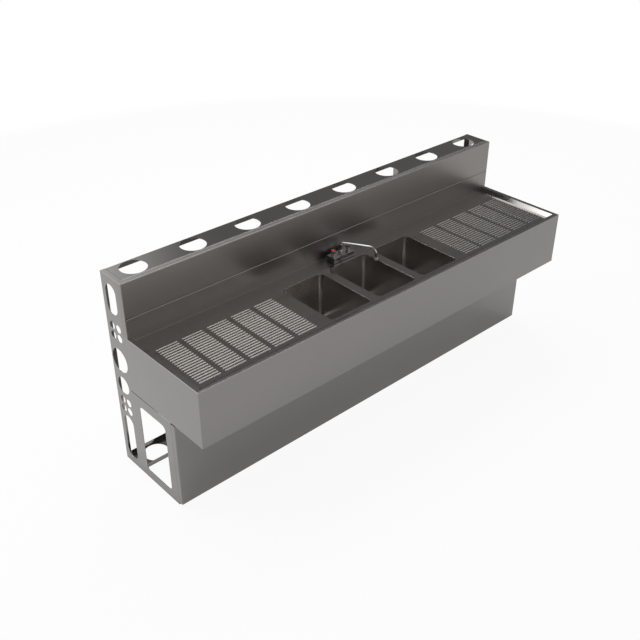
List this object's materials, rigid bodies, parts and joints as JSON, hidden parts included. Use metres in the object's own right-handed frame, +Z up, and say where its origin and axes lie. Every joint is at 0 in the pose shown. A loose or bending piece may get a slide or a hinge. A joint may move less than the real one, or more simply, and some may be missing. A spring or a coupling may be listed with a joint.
{
  "type": "three-bowl bar sink",
  "caption": "Stainless bar sink with bowls between ribbed drainboards, swivel-spout tap and an open utility chase behind.",
  "frame": {"origin": "middle of the length and depth, on the floor", "axes": "+X along the length to the right seen from the front, +Y to the open back, +Z up"},
  "size_m": [2.438, 0.683, 1.044],
  "materials": {
    "frame_steel": "satin",
    "panel_steel": "brushed",
    "deck_steel": "brushed",
    "bowl_steel": "satin",
    "seals": "matte",
    "brass": "satin",
    "chrome": "polished",
    "red_cap": "gloss",
    "blue_cap": "gloss"
  },
  "bodies": {
    "root": {"end_panel_left": "frame_steel", "end_panel_right": "frame_steel", "bulkhead_left": "frame_steel", "bulkhead_right": "frame_steel", "top_channel": "frame_steel", "bottom_channel": "frame_steel", "riser_panel": "panel_steel", "backsplash": "deck_steel", "bowl_deck": "deck_steel", "drainboard_left": "deck_steel", "drainboard_right": "deck_steel", "front_apron": "panel_steel", "end_apron_left": "panel_steel", "end_apron_right": "panel_steel", "base_panel": "panel_steel", "stiffener_left": "frame_steel", "stiffener_right": "frame_steel", "bowl_left": "bowl_steel", "bowl_centre": "bowl_steel", "bowl_right": "bowl_steel", "drain_body_left": "chrome", "drain_body_centre": "chrome", "drain_body_right": "chrome", "strainer_left": "chrome", "strainer_centre": "chrome", "strainer_right": "chrome", "drain_nut_left": "brass", "drain_nut_centre": "brass", "drain_nut_right": "brass", "tailpiece_left": "chrome", "tailpiece_centre": "chrome", "tailpiece_right": "chrome", "slip_nut_left": "brass", "slip_nut_centre": "brass", "slip_nut_right": "brass", "drain_gaskets": "seals", "tap_base": "chrome", "tap_gasket": "seals", "hot_bonnet": "chrome", "cold_bonnet": "chrome", "spout_collar": "chrome", "hot_shank": "brass", "cold_shank": "brass", "shank_washers": "frame_steel", "shank_nuts": "brass"},
    "hot_valve": {"hot_stem": "brass", "hot_handle": "chrome", "hot_index": "red_cap"},
    "cold_valve": {"cold_stem": "brass", "cold_handle": "chrome", "cold_index": "blue_cap"},
    "spout_arm": {"spout": "chrome", "aerator": "chrome"}
  },
  "joints": [
    {"name": "spout_swivel", "type": "hinge", "parent": "root", "child": "spout_arm", "pos_m": [0, 0.1255, 0.79], "axis": [0, 0, 1], "range_deg": [-120, 60]},
    {"name": "hot_turn", "type": "hinge", "parent": "root", "child": "hot_valve", "pos_m": [-0.0508, 0.1255, 0.79], "axis": [0, 0, 1], "range_deg": [0, 90]},
    {"name": "cold_turn", "type": "hinge", "parent": "root", "child": "cold_valve", "pos_m": [0.0508, 0.1255, 0.79], "axis": [0, 0, 1], "range_deg": [-90, 0]}
  ]
}
